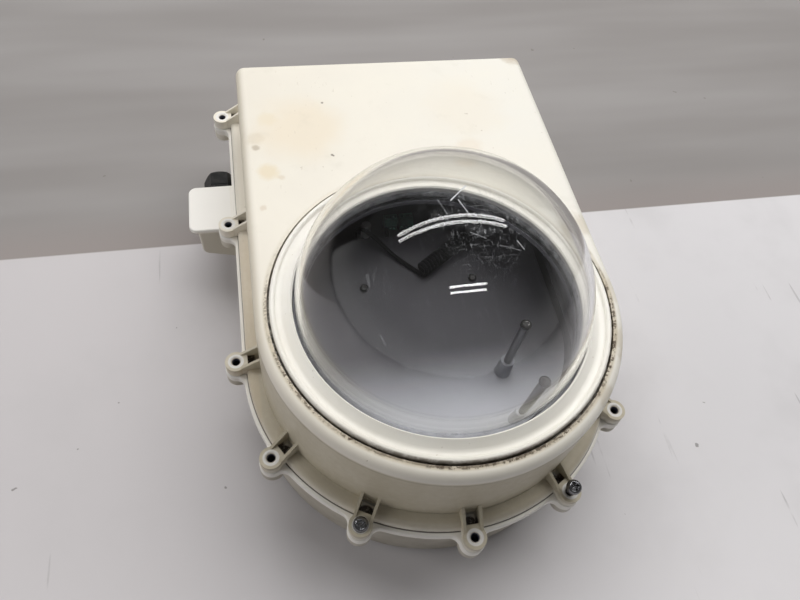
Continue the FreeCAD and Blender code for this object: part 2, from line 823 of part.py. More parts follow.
def route_tube(points, radius, name):
    """Tube along straight runs joined by tangent arcs; each arc is as large as its runs allow."""
    share = 0.45
    edges = []
    last = V(*points[0])
    for index in range(1, len(points) - 1):
        before, corner, after = V(*points[index - 1]), V(*points[index]), V(*points[index + 1])
        back = before - corner
        ahead = after - corner
        reach = share * min(back.Length, ahead.Length)
        half_turn = (math.pi - back.getAngle(ahead)) / 2
        arc_radius = reach / math.tan(half_turn)
        print(name, "arc radius", round(arc_radius, 1))
        back.normalize()
        ahead.normalize()
        arc_start = corner + back * reach
        arc_end = corner + ahead * reach
        inward = back + ahead
        inward.normalize()
        to_centre = arc_radius / math.cos(half_turn)
        arc_middle = corner + inward * (to_centre - arc_radius)
        edges.append(Part.LineSegment(last, arc_start).toShape())
        edges.append(Part.Arc(arc_start, arc_middle, arc_end).toShape())
        last = arc_end
    edges.append(Part.LineSegment(last, V(*points[-1])).toShape())
    path = Part.Wire(edges)
    start_run = V(*points[1]) - V(*points[0])
    ring = Part.Wire(Part.Circle(V(*points[0]), start_run, radius).toShape())
    tube = path.makePipeShell([ring], True, False)
    print(name, "volume share", round(tube.Volume / (math.pi * radius * radius * path.Length), 4))
    return tube


def coil_axis():
    """Two ends of the curled stretch, lying on the tray."""
    z = tray_top_z + coil_radius + lead_lift
    return V(coil_start[0], coil_start[1], z), V(coil_end[0], coil_end[1], z)


def make_lead_coil():
    """Curled stretch of the lead as one tube of its outer size."""
    start, end = coil_axis()
    run = end - start
    return Part.makeCylinder(coil_radius, run.Length, start, run)


def tail_route():
    """Lead from the left terminal up over the tray's edge, then along the tray to the coil's first turn."""
    lie = tray_top_z + lead_radius + lead_lift
    mouth_x = terminal_left_x + terminal_width / terminal_ways / 2
    mouth_z = board_top_z + terminal_mouth_z
    points = [(mouth_x, terminal_y, mouth_z), (mouth_x, 114.5, mouth_z), (-16.5, 105.8, 47.0)]
    points += [(-28.0, 103.5, 54.5), (-37.5, 103.2, 66.0), (-39.5, 101.0, 76.5), (-34.6, 95.0, 84.2)]
    points += [(-26.2, 85.4, 82.6), (-17.4, 75.2, 78.6), (-7.5, 64.0, lie), (0.6, 54.9, lie)]
    return points


def end_route():
    """Lead from the far end of the coil down into its plug."""
    start, end = coil_axis()
    ahead = end - start
    ahead.normalize()
    leave = end + ahead * end_first_run
    plug_top = board_top_z + header_height - plug_overlap + plug_height
    points = [(end.x, end.y, end.z), (leave.x, leave.y, leave.z), (60.5, 98.5, 82.2), (58.5, 111.0, 80.0)]
    points += [(50.5, 121.5, 75.0), (41.5, 128.5, 67.5), (header_x, header_y, plug_top + end_last_run)]
    points += [(header_x, header_y, plug_top)]
    return points


def gland_turned(points):
    """Round gland piece: (radius, distance from the box wall) corners, turned about the gland's axis."""
    return turned(points, V(gland_x, box_y1, gland_axis_z), V(0, 1, 0))


def gland_hex(flat, length, start):
    """Hexagonal gland piece starting at a distance from the box wall."""
    return hexagon(flat, length, V(gland_x, box_y1 + start, gland_axis_z), V(0, 1, 0))


def make_gland_body():
    """Gland body: hexagon, threaded tail through the wall and a neck under the nut."""
    base = gland_gasket_thickness
    neck_end = base + gland_hex_length + gland_neck_length
    tail = gland_turned([(gland_tail_bore, -gland_tail), (gland_thread_radius, -gland_tail),
                         (gland_thread_radius, base), (gland_tail_bore, base)])
    collar = gland_hex(gland_flat, gland_hex_length, base)
    neck = gland_turned([(gland_tail_bore, base), (gland_neck_radius, base), (gland_neck_radius, neck_end),
                         (gland_tail_bore, neck_end)])
    body = fuse_all([tail, collar, neck])
    bore = gland_turned([(0, -gland_tail - 1), (gland_tail_bore, -gland_tail - 1), (gland_tail_bore, base + gland_socket_floor),
                         (gland_socket_radius, base + gland_socket_floor), (gland_socket_radius, neck_end + 1), (0, neck_end + 1)])
    return body.cut(bore)


def make_gland_gasket():
    """Flat seal between the gland's hexagon and the box wall."""
    outer = gland_thread_radius + gland_gasket_width
    inner = gland_thread_radius + gland_thread_clearance
    return gland_turned([(inner, 0), (outer, 0), (outer, gland_gasket_thickness), (inner, gland_gasket_thickness)])


def make_gland_seal():
    """Rubber sleeve that grips the cable."""
    low = gland_gasket_thickness + gland_socket_floor
    high = gland_gasket_thickness + gland_hex_length + gland_neck_length
    outer = gland_socket_radius - gland_seal_clearance
    return gland_turned([(gland_bore, low), (outer, low), (outer, high), (gland_bore, high)])


def make_gland_nut():
    """Hexagonal nut with a chamfered end and a mouth for the cable."""
    start = gland_gasket_thickness + gland_hex_length + gland_nut_gap
    end = start + gland_nut_length
    corner = gland_flat / math.sqrt(3)
    blank = gland_turned([(0, start), (corner, start), (corner, end - gland_nut_chamfer),
                          (gland_flat / 2 - gland_nut_chamfer / 2, end), (0, end)])
    nut = gland_hex(gland_flat, gland_nut_length, start).common(blank)
    seat = gland_gasket_thickness + gland_hex_length + gland_neck_length + gland_nut_gap
    inner = gland_neck_radius + gland_nut_clearance
    hollow = gland_turned([(0, start - 1), (inner, start - 1), (inner, seat), (gland_nut_mouth, seat + gland_nut_shoulder),
                           (gland_nut_mouth, end + 1), (0, end + 1)])
    return nut.cut(hollow)


def make_gland_locknut():
    """Nut that holds the gland from inside the box."""
    length = locknut_thickness
    nut = gland_hex(locknut_flat, length, -box_wall - length)
    inner = gland_thread_radius + gland_thread_clearance
    return nut.cut(gland_turned([(0, -box_wall - length - 1), (inner, -box_wall - length - 1),
                                 (inner, -box_wall + 1), (0, -box_wall + 1)]))


save("back_shell", make_back_shell())
save("front_cover", make_front_cover())
save("dome_ring", make_dome_ring())
save("dome", make_dome())
save("dome_gasket", make_dome_gasket())
save("ring_screws", make_ring_screws())
save("cover_gasket", make_cover_gasket())
save("threaded_inserts", make_threaded_inserts())
save("cover_screw_seated", cover_screw(seated_ear_step, 0.0))
save("cover_screw_raised", cover_screw(raised_ear_step, screw_lift))
save("camera_tray", make_camera_tray())
save("tray_screws", make_tray_screws())
save("standoff_rear", make_standoff(post_rear_y))
save("standoff_front", make_standoff(post_front_y))
save("standoff_screws", make_standoff_screws())
save("control_board", make_control_board())
save("board_screws", make_board_screws())
save("terminal_block_left", make_terminal(terminal_left_x))
save("terminal_block_right", make_terminal(terminal_left_x + terminal_width + terminal_gap))
save("capacitor", make_capacitor())
save("board_header", make_board_header())
save("lead_plug", make_lead_plug())
save("lead_coil", make_lead_coil())
save("lead_tail", route_tube(tail_route(), lead_radius, "lead_tail").cut(make_lead_coil()))
save("lead_end", route_tube(end_route(), lead_radius, "lead_end"))
save("gland_body", make_gland_body())
save("gland_gasket", make_gland_gasket())
save("gland_seal", make_gland_seal())
save("gland_nut", make_gland_nut())
save("gland_locknut", make_gland_locknut())
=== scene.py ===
"""Dressed model of a security camera housing: a cream moulded clamshell that lies on its back, clear dome up.

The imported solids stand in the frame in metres. Each section finishes one piece, or one group of like pieces, in
the order in which the housing goes together.
"""
import math

import bpy
import numpy as np
from mathutils import Matrix, Vector


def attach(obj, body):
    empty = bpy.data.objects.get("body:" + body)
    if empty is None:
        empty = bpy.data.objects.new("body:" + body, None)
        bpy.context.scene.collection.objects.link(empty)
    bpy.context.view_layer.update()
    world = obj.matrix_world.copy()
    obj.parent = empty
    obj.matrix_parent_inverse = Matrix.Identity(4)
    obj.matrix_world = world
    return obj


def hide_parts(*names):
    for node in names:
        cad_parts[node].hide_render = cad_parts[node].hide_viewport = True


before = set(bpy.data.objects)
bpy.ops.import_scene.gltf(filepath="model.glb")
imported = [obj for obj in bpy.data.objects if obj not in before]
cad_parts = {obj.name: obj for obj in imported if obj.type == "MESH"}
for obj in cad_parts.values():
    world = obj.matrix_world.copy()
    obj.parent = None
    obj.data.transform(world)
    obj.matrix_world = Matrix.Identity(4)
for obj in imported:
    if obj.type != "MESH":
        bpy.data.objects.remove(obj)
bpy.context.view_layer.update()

# The table and the room: a pale matt table in front of a greyer backdrop, seen from above the nose. The light is
# soft and comes over the backdrop and from the left, with two pairs of ceiling tubes that show in the dome.
camera_place = Vector((-0.0997, -0.2140, 0.4702))
camera_right = Vector((0.979, -0.179, 0.095))
camera_up = Vector((0.100, 0.833, 0.544))
camera_data = bpy.data.cameras.new("camera")
camera_data.sensor_width = 36.0
camera_data.lens = 29.9
camera_data.clip_start = 0.01
camera = bpy.data.objects.new("camera", camera_data)
bpy.context.collection.objects.link(camera)
camera_back = camera_right.cross(camera_up).normalized()
camera_up = camera_back.cross(camera_right).normalized()
turn = Matrix((camera_right.normalized(), camera_up, camera_back)).transposed()
camera.matrix_world = Matrix.Translation(camera_place) @ turn.to_4x4()
bpy.context.scene.camera = camera
bpy.context.scene.view_settings.view_transform = "Standard"


class Socket:
    """An output socket of a material's nodes. Sums with it add Math nodes, and make() adds any other node."""

    def __init__(self, tree, link):
        self.tree = tree
        self.link = link

    def make(self, kind, settings=None, sockets=None, out=0):
        """Adds a node: its settings first, then the values or links of its sockets. Gives one output."""
        node = self.tree.nodes.new("ShaderNode" + kind)
        for name, setting in (settings or {}).items():
            setattr(node, name, setting)
        for name, value in (sockets or {}).items():
            if isinstance(value, Socket):
                self.tree.links.new(value.link, node.inputs[name])
            else:
                node.inputs[name].default_value = value
        return Socket(self.tree, node.outputs[out])

    def math(self, operation, a, b=0.0):
        return self.make("Math", {"operation": operation}, {0: a, 1: b})

    def __add__(self, other):
        return self.math("ADD", self, other)

    def __sub__(self, other):
        return self.math("SUBTRACT", self, other)

    def __rsub__(self, other):
        return self.math("SUBTRACT", other, self)

    def __mul__(self, other):
        return self.math("MULTIPLY", self, other)

    __radd__ = __add__
    __rmul__ = __mul__

    def larger(self, other):
        """The larger of two values."""
        return self.math("MAXIMUM", self, other)

    def smaller(self, other):
        """The smaller of two values."""
        return self.math("MINIMUM", self, other)

    def step(self, low, high):
        """0 below low and 1 above high, with a smooth rise between them."""
        ends = {"Value": self, "From Min": low, "From Max": high}
        return self.make("MapRange", {"interpolation_type": "SMOOTHSTEP"}, ends)

    def above(self, limit, soft=0.0002):
        """1 above a limit and 0 below it, with a soft edge."""
        return self.step(limit - soft, limit + soft)

    def below(self, limit, soft=0.0002):
        """1 below a limit and 0 above it, with a soft edge."""
        return 1 - self.above(limit, soft)

    def band(self, low, high, soft):
        """1 between low and high, falling to 0 over a soft edge on each side."""
        return self.step(low - soft, low) * (1 - self.step(high, high + soft))

    def vector(self, operation, other, out=0):
        """Vector Math with another position or three numbers."""
        return self.make("VectorMath", {"operation": operation}, {0: self, 1: other}, out=out)

    def length(self, place=(0.0, 0.0, 0.0)):
        """Distance of a position from a place."""
        return self.vector("DISTANCE", place, out="Value")

    def scaled(self, factors):
        """A position with its axes stretched by three factors."""
        return self.vector("MULTIPLY", factors)

    def part(self, axis):
        """One coordinate of a position."""
        return self.make("SeparateXYZ", None, {0: self}, out=axis)

    def noise(self, scale, detail=4.0, rough=0.6):
        """Cloudy noise about 0.5 at this many features in a metre."""
        return self.make("TexNoise", None, {"Vector": self, "Scale": scale, "Detail": detail, "Roughness": rough})

    def tint(self, low, high):
        """A colour between two colours, by this mask."""
        ends = {}
        for index, colour in ((6, low), (7, high)):
            ends[index] = colour if isinstance(colour, Socket) else (*colour, 1.0)
        return self.make("Mix", {"data_type": "RGBA"}, {0: self, **ends}, out=2)


def new_finish(name):
    """An empty material of this name with its Principled shader, and the Object coordinates to work from."""
    finish = bpy.data.materials.new(name)
    finish.use_nodes = True
    tree = finish.node_tree
    shader = tree.nodes["Principled BSDF"]
    return finish, shader, Socket(tree, tree.nodes.new("ShaderNodeTexCoord").outputs["Object"])


def set_finish(shader, **values):
    """Sets the Principled shader's sockets, named with _ for a space, to values or links."""
    for name, value in values.items():
        socket = shader.inputs[name.replace("_", " ")]
        if isinstance(value, Socket):
            value.tree.links.new(value.link, socket)
        else:
            socket.default_value = value


def bumped(heights, strength, depth):
    """A normal from heights between 0 and 1 that stand for a depth in metres."""
    return heights.make("Bump", None, {"Strength": strength, "Distance": depth, "Height": heights})


def wear(finish, *nodes):
    """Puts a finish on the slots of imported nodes."""
    for name in nodes:
        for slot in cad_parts[name].material_slots:
            slot.material = finish


def grid_mesh(name, points, closed_u=False, closed_v=False, smooth=True):
    """Mesh of a grid of points, rows u by columns v, whose faces join each point to the next row and column."""
    rows, columns = points.shape[:2]
    u = np.arange(rows if closed_u else rows - 1)
    v = np.arange(columns if closed_v else columns - 1)
    corner = u[:, None] * columns + v[None, :]
    right = u[:, None] * columns + (v[None, :] + 1) % columns
    above = ((u[:, None] + 1) % rows) * columns + v[None, :]
    beyond = ((u[:, None] + 1) % rows) * columns + (v[None, :] + 1) % columns
    faces = np.stack([corner, right, beyond, above], axis=-1).reshape(-1, 4)
    mesh = bpy.data.meshes.new(name)
    mesh.from_pydata(points.reshape(-1, 3), [], faces)
    mesh.polygons.foreach_set("use_smooth", np.full(len(faces), smooth))
    return mesh


def add_piece(name, mesh, body, finish):
    """Stands a mesh in the scene at the origin, on a body, in a finish."""
    piece = bpy.data.objects.new(name, mesh)
    bpy.context.collection.objects.link(piece)
    piece.data.materials.append(finish)
    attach(piece, body)
    return piece


board_foot_y, board_bend, reach = 2.2, 0.2, 3.5
bend_angles = np.linspace(0.0, math.pi / 2, 13)
sweep_y = np.concatenate([[-reach], board_foot_y + board_bend * np.sin(bend_angles), [board_foot_y + board_bend]])
sweep_z = np.concatenate([[0.0], board_bend * (1 - np.cos(bend_angles)), [1.6]])
sweep = np.zeros((len(sweep_y), 2, 3))
sweep[..., 0] = (-reach, reach)
sweep[..., 1] = sweep_y[:, None]
sweep[..., 2] = sweep_z[:, None]
table = bpy.data.objects.new("table", grid_mesh("table", sweep))
bpy.context.collection.objects.link(table)
table_finish, shader, at = new_finish("table_laminate")
table_end_y = 0.159
across = at.part("Y")
# Painted light: the table's colour grows lighter to the right, where more lamp light falls.
table_colour = at.part("X").step(-0.35, 0.30).tint((0.575, 0.555, 0.570), (0.700, 0.690, 0.712))
smears = at.noise(9.0, 4.0).step(0.45, 0.75) * 0.25
hairlines = at.scaled((1.0, 0.05, 1.0)).noise(170.0, 2.0, 0.5).step(0.69, 0.72) * at.noise(14.0).step(0.5, 0.6)
crumbs = at.noise(95.0, 2.0, 0.35).step(0.775, 0.79)
table_colour = smears.tint(table_colour, (0.50, 0.49, 0.50))
# Painted light: the table is lighter towards the near side, away from the housing's shade.
table_colour = (across.below(-0.20, 0.20) * 0.7).tint(table_colour, (0.86, 0.84, 0.86))
table_colour = (hairlines * 0.55).tint(table_colour, (0.38, 0.37, 0.38))
table_colour = (crumbs * 0.6).tint(table_colour, (0.12, 0.11, 0.10))
folds = at.scaled((0.4, 3.0, 1.0)).noise(3.0, 3.0).step(0.3, 0.7)
board_colour = folds.tint((0.262, 0.249, 0.244), (0.325, 0.313, 0.311))
# Painted shade: the backdrop is darker just beyond the table's edge, under its fold.
board_colour = (1 - across.step(table_end_y, table_end_y + 0.05)).tint(board_colour, (0.300, 0.272, 0.264))
board_colour = (crumbs * 0.5).tint(board_colour, (0.16, 0.14, 0.13))
ground = across.above(table_end_y, 0.0008).tint(table_colour, board_colour)
set_finish(shader, Base_Color=ground, Roughness=0.5, Specular_IOR_Level=0.25)
table.data.materials.append(table_finish)

world = bpy.data.worlds.new("room")
bpy.context.scene.world = world
world.use_nodes = True
room_light, room_seen = 0.11, 0.62
ray = world.node_tree.nodes.new("ShaderNodeLightPath")
seen = Socket(world.node_tree, ray.outputs["Is Camera Ray"])
seen_in_dome = Socket(world.node_tree, ray.outputs["Is Glossy Ray"])
seen_in_dome = seen_in_dome.larger(Socket(world.node_tree, ray.outputs["Is Transmission Ray"]))
upwards = seen.make("TexCoord", out="Generated").part("Z")
walls = 0.6 * (1 - upwards.step(0.05, 0.45))
strength = seen.larger(seen_in_dome * walls) * (room_seen - room_light) + room_light
backdrop = world.node_tree.nodes["Background"]
backdrop.inputs["Color"].default_value = (1.0, 0.985, 0.975, 1.0)
world.node_tree.links.new(strength.link, backdrop.inputs["Strength"])


def add_light(name, place, target, size, power, colour, in_gloss):
    """A rectangular lamp at a place, turned to a target, that shows in gloss only or lights matt surfaces only."""
    data = bpy.data.lights.new(name, "AREA")
    data.shape = "RECTANGLE"
    data.size, data.size_y = size
    data.energy = power
    data.color = colour
    lamp = bpy.data.objects.new(name, data)
    lamp.location = place
    lamp.rotation_euler = (Vector(target) - Vector(place)).to_track_quat("-Z", "Y").to_euler()
    lamp.visible_glossy = in_gloss
    lamp.visible_transmission = in_gloss
    lamp.visible_diffuse = not in_gloss
    bpy.context.collection.objects.link(lamp)
    return lamp


add_light("ceiling", (0.45, 1.05, 1.65), (0.0, 0.05, 0.1), (3.0, 1.8), 56.0, (1.0, 0.985, 0.965), False)
add_light("wall_side", (-1.6, 0.1, 0.9), (0.0, 0.05, 0.1), (1.2, 1.0), 8.5, (1.0, 0.98, 0.96), False)
tube_width, tube_glow = 0.042, 90.0
for name, place, length, gap in (("far", (0.056, 0.585, 1.60), 2.2, 0.15), ("near", (0.108, -0.708, 1.45), 0.68, 0.12)):
    for side in (-1, 1):
        spot = (place[0], place[1] + side * gap / 2, place[2])
        aim = (place[0], 0.0, 0.2)
        power = tube_glow * length * tube_width
        add_light("tube_%s_%d" % (name, side), spot, aim, (length, tube_width), power / 2, (1.0, 1.0, 1.0), True)

# The lead: a black two-core lead from the left terminal block, over the tray's edge into a curled stretch, and back
# to the header on the board. It is extruded, wound on a rod and clipped on the plug's contacts.
lead_points = [
    (-8.6, 126.5, 43.0), (-8.6, 114.5, 43.0), (-16.5, 105.8, 47.0), (-28.0, 103.5, 54.5), (-37.5, 103.2, 66.0),
    (-39.5, 101.0, 76.5), (-34.6, 95.0, 84.2), (-26.2, 85.4, 82.6), (-17.4, 75.2, 78.6), (-7.5, 64.0, 77.4),
]
lead_end_points = [
    (54.2, 88.7, 81.8), (60.5, 98.5, 82.2), (58.5, 111.0, 80.0), (50.5, 121.5, 75.0), (41.5, 128.5, 67.5),
    (36.0, 130.0, 58.5), (36.0, 130.0, 52.0),
]
lead_diameter = 0.0032
curl_start, curl_end = np.array((1.0, 52.0, 81.8)), np.array((46.0, 83.0, 81.8))
curl_radius, curl_turns, curl_steps = 4.4, 16.5, 12
along = curl_end - curl_start
along_length = np.linalg.norm(along)
along = along / along_length
sideways = np.cross(along, (0.0, 0.0, 1.0))
turning = np.linspace(-math.pi / 2, 2 * math.pi * curl_turns - math.pi / 2, int(curl_turns * curl_steps) + 1)
share = np.linspace(0.04, 0.96, len(turning))[:, None]
curl = curl_start + along * along_length * share
curl = curl + curl_radius * (sideways * np.cos(turning)[:, None] + np.array((0.0, 0.0, 1.0)) * np.sin(turning)[:, None])
route = np.concatenate([lead_points, curl, lead_end_points]) / 1000.0
lead_curve = bpy.data.curves.new("lead", "CURVE")
lead_curve.dimensions = "3D"
lead_curve.bevel_depth = lead_diameter / 2
lead_curve.bevel_resolution = 4
lead_curve.resolution_u = 6
spline = lead_curve.splines.new("NURBS")
spline.points.add(len(route) - 1)
spline.points.foreach_set("co", np.hstack([route, np.ones((len(route), 1))]).ravel())
spline.order_u = 3
spline.use_endpoint_u = True
lead = bpy.data.objects.new("lead", lead_curve)
bpy.context.collection.objects.link(lead)
lead_finish, shader, at = new_finish("lead_rubber")
dust = at.noise(900.0, 3.0).step(0.5, 0.85)
set_finish(shader, Base_Color=(dust * 0.15).tint((0.004, 0.004, 0.005), (0.04, 0.04, 0.04)),
           Roughness=0.65 + dust * 0.2, Specular_IOR_Level=0.06, Normal=bumped(at.noise(2500.0), 0.2, 0.0001))
lead_curve.materials.append(lead_finish)
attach(lead, "back")
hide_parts("lead_tail", "lead_coil", "lead_end")

# The cream weatherproof plastic of the shells and the ring, moulded with a fine matt grain. It has yellowed a little,
# most at the left. The eleven screw ears have clean discs where washers were, and crumbs in their windows.
ear_reach = 0.1327
window_reach = 0.1239
nose_angles = [math.radians(angle) for angle in (210, 240, 270, 300, 330)]
side_ear_y = (0.0033, 0.12185, 0.2404)


def ring_of_places(from_axis):
    """Places at each ear, this far from the dome's axis or from the housing's middle line."""
    places = [(from_axis * math.cos(angle), from_axis * math.sin(angle), 0.0) for angle in nose_angles]
    return places + [(side * from_axis, y, 0.0) for side in (-1, 1) for y in side_ear_y]


def nearest(at, places):
    """Plan distance to the nearest of some places."""
    flat = at.scaled((1.0, 1.0, 0.0))
    shortest = flat.length(places[0])
    for place in places[1:]:
        shortest = shortest.smaller(flat.length(place))
    return shortest


def cream_plastic(name):
    """The cream plastic: its finish, shader, position, plan distance from the middle line or axis, and colour."""
    finish, shader, at = new_finish(name)
    to_right = at.part("X").step(-0.115, 0.105)
    cream = to_right.tint((0.815, 0.775, 0.690), (0.850, 0.832, 0.772))
    cream = (at.noise(11.0, 4.0).step(0.35, 0.70) * 0.55).tint(cream, (0.880, 0.845, 0.752))
    plan = at.make("CombineXYZ", None, {0: at.part("X"), 1: at.part("Y").smaller(0.0), 2: 0.0}).length()
    return finish, shader, at, plan, cream


def within(plan, y, half_width, end_y, corner, height=0.0):
    """1 on the inner side of a 3.5 mm wall along the housing's outline, whose far corners are rounded."""
    side = (plan - (half_width - corner)).larger(0.0)
    end = (y - (end_y - corner)).larger(0.0)
    return side.make("CombineXYZ", None, {0: side, 1: end, 2: height}).length().below(corner - 0.00175)


def soil(at, cream):
    """Fine brown specks and grey smudges on the plastic, and dark crumbs in the ears' windows."""
    z = at.part("Z")
    smudge = at.noise(38.0, 5.0).step(0.58, 0.78) * 0.16
    cream = smudge.tint(cream, (0.50, 0.46, 0.38))
    specks = at.noise(420.0, 2.0, 0.4).step(0.755, 0.785) * at.noise(18.0).step(0.45, 0.6)
    cream = (specks * 0.5).tint(cream, (0.24, 0.17, 0.10))
    crumbs = nearest(at, ring_of_places(window_reach)).below(0.0056, 0.0006) * z.band(0.0585, 0.0655, 0.0015)
    return (crumbs * at.noise(420.0).step(0.2, 0.5)).tint(cream, (0.075, 0.055, 0.040))


def grain_of(at):
    """The mould's fine matt grain."""
    return bumped(at.noise(1400.0, 3.0), 0.30, 0.0001)


# The back shell: a deep tray with a lip, eleven lobes for the brass inserts and the cable box, all one moulding. Down
# by the table its outside has a brown film, partly dirt and partly painted shade. The near faces of its lip and cable
# box carry painted shade, and its inside is painted dark grey as shade.
back_finish, shader, at, plan, cream = cream_plastic("shell_back")
x, y, z = at.part("X"), at.part("Y"), at.part("Z")
film_noise = at.noise(26.0, 4.0).step(0.25, 0.75)
near_side = y.below(0.02, 0.05)
# A brown film, partly dirt and partly painted shade where the table hides the light, darkens the outside low down, most
# on the near side.
low_film_and_shade = z.below(0.0535, 0.0010) * (near_side * 0.55 + 0.20) * (film_noise * 0.4 + 0.7)
cream = low_film_and_shade.tint(cream, (0.300, 0.265, 0.205))
# Painted shade: the lip's outer face is greyer on the near side, away from the light.
lip_near_shade = z.band(0.0540, 0.0601, 0.0004) * plan.above(0.1275, 0.0008) * near_side
cream = (lip_near_shade * film_noise * 0.2).tint(cream, (0.52, 0.50, 0.46))
cream = soil(at, cream)
seam = plan.band(0.1256, 0.1267, 0.0005) * z.band(0.0585, 0.0612, 0.0004)
cream = (seam * 0.9).tint(cream, (0.050, 0.036, 0.025))
box_top = x.below(-0.1310) * z.above(0.0582)
cream = (box_top * 0.9).tint(cream, (0.865, 0.855, 0.830))
# Painted shade: the cable box's near face is darker and browner.
box_front_shade = x.below(-0.1280) * y.below(0.1262, 0.0010) * z.below(0.0575, 0.0010)
cream = (box_front_shade * 0.42).tint(cream, (0.38, 0.34, 0.26))
lip_edge = z.band(0.0545, 0.0602, 0.0004) * plan.above(0.1268, 0.0006)
cream = (lip_edge * (film_noise * 0.3 + 0.45)).tint(cream, (0.920, 0.905, 0.870))
# Painted shade: the shell's inside is coloured dark bluish grey, as the light hardly reaches it.
painted_inside_shade = z.band(0.0029, 0.0597, 0.0001) * within(plan + (0.060 - z) * 0.025, y, 0.1253, 0.2490, 0.0085)
painted_inside_shade = painted_inside_shade.larger(z.band(0.0029, 0.0602, 0.0001) * within(plan, y, 0.1170, 0.2338, 0.0070))
cream = painted_inside_shade.tint(cream, (0.150, 0.152, 0.178))
set_finish(shader, Base_Color=cream, Roughness=0.42 + film_noise * 0.12, Specular_IOR_Level=0.4, Normal=grain_of(at))
wear(back_finish, "back_shell")

# The front cover: the upper shell, one moulding with the flange and the screw ears. Its top is clean, with a few
# yellow-brown stains at the left. The nose's wall under the rounded edge has a brown film, partly rain dirt and partly
# painted shade on the near side, with a painted shadow line under the edge. Its ear holes and inside carry painted
# shade.
cover_finish, shader, at, plan, cream = cream_plastic("shell_cover")
x, y, z = at.part("X"), at.part("Y"), at.part("Z")
flat_at = at.scaled((1.0, 1.0, 0.0))
radius = flat_at.length()
fine = at.noise(220.0, 4.0)
near_side = y.below(0.02, 0.05)
for place, size, depth, colour in (
    ((-0.0990, 0.116, 0.127), 0.0095, 0.50, (0.76, 0.63, 0.40)), ((-0.0960, 0.168, 0.127), 0.0095, 0.38, (0.78, 0.68, 0.48)),
    ((-0.1060, 0.1490, 0.127), 0.0080, 0.40, (0.62, 0.55, 0.42)), ((-0.1060, 0.1400, 0.127), 0.0035, 0.65, (0.40, 0.34, 0.26)),
    ((-0.1047, 0.0838, 0.127), 0.0030, 0.35, (0.55, 0.42, 0.28)), ((-0.0905, 0.110, 0.127), 0.0030, 0.35, (0.60, 0.48, 0.32)),
    ((-0.0740, 0.158, 0.127), 0.0400, 0.50, (0.83, 0.72, 0.55)), ((0.0550, 0.172, 0.127), 0.0380, 0.22, (0.84, 0.74, 0.58)),
    ((0.0480, 0.128, 0.127), 0.0130, 0.25, (0.74, 0.60, 0.44)),
):
    stain = at.length(place) + (at.noise(0.9 / size, 3.0) - 0.5) * (size * 0.9)
    cream = ((1 - stain.step(size * 0.35, size * 1.05)) * depth).tint(cream, colour)
for place, size in (((-0.0539, 0.1831), 0.0016), ((-0.0532, 0.1284), 0.0018), ((-0.0522, 0.1275), 0.0014)):
    speck = flat_at.length((*place, 0.0)) + (fine - 0.5) * 0.0012
    cream = (speck.below(size * 0.5, size * 0.3) * z.above(0.12) * 0.85).tint(cream, (0.13, 0.10, 0.08))
scratched = at.scaled((1.0, 0.22, 1.0)).noise(520.0, 2.0, 0.5).step(0.70, 0.73) * at.noise(16.0).step(0.50, 0.62)
cream = (scratched * z.above(0.126) * 0.28).tint(cream, (0.45, 0.38, 0.28))
corner_dirt = 1 - (at.length((0.1110, 0.2270, 0.125)) + (at.noise(90.0) - 0.5) * 0.016).step(0.003, 0.0120)
cream = (corner_dirt * 0.55).tint(cream, (0.42, 0.32, 0.20))
edge_film = z.band(0.1195, 0.1258, 0.0020) * (x.below(-0.1130, 0.0030) * 0.35 + near_side * 0.06)
cream = (edge_film * (fine * 0.6 + 0.7)).tint(cream, (0.56, 0.49, 0.34))
for place, size in (((0.1090, 0.0480, 0.1240), 0.014), ((0.1059, -0.0045, 0.1240), 0.016), ((0.1044, -0.0421, 0.1240), 0.013),
                    ((0.1048, -0.0553, 0.1220), 0.010), ((0.0830, -0.0800, 0.1240), 0.012)):
    grime = at.length(place) + (at.noise(180.0) - 0.5) * size
    cream = ((1 - grime.step(size * 0.3, size)) * 0.38).tint(cream, (0.45, 0.37, 0.24))
# A brown film on the walls, partly rain dirt and partly painted shade, strongest on the near side that faces away from
# the light.
wall_film_and_shade = z.band(0.0665, 0.1175, 0.0038) * plan.above(0.1120, 0.0010)
wall_film_and_shade = wall_film_and_shade * (near_side * 0.74 + 0.14) * (fine * 0.35 + at.noise(13.0).step(0.2, 0.7) * 0.25 + 0.62)
cream = wall_film_and_shade.tint(cream, (0.480, 0.430, 0.315))
# Painted shadow: a thin dark line on the near walls just under the rounded edge.
shadow_line_under_edge = z.band(0.1172, 0.1180, 0.0010) * plan.above(0.1155, 0.0008) * near_side * (fine * 0.6 + 0.3)
cream = (shadow_line_under_edge * 0.6).tint(cream, (0.26, 0.215, 0.145))
left_flange = z.band(0.0600, 0.0668, 0.0010) * x.below(-0.1185, 0.0010) * y.below(0.112, 0.010)
cream = (left_flange * (fine * 0.3 + 0.35)).tint(cream, (0.66, 0.55, 0.39))
flange_film = z.band(0.0600, 0.0668, 0.0010) * plan.above(0.1180, 0.0010) * near_side
cream = (flange_film * (fine * 0.3 + 0.30)).tint(cream, (0.47, 0.42, 0.33))
cream = soil(at, cream)
holes = nearest(at, ring_of_places(ear_reach))
clean_disc = holes.below(0.0052, 0.0004) * z.above(0.0675)
cream = (clean_disc * 0.85).tint(cream, (0.80, 0.795, 0.790))
hole_rim = holes.below(0.0028, 0.0002)
cream = hole_rim.tint(cream, (0.120, 0.126, 0.170))
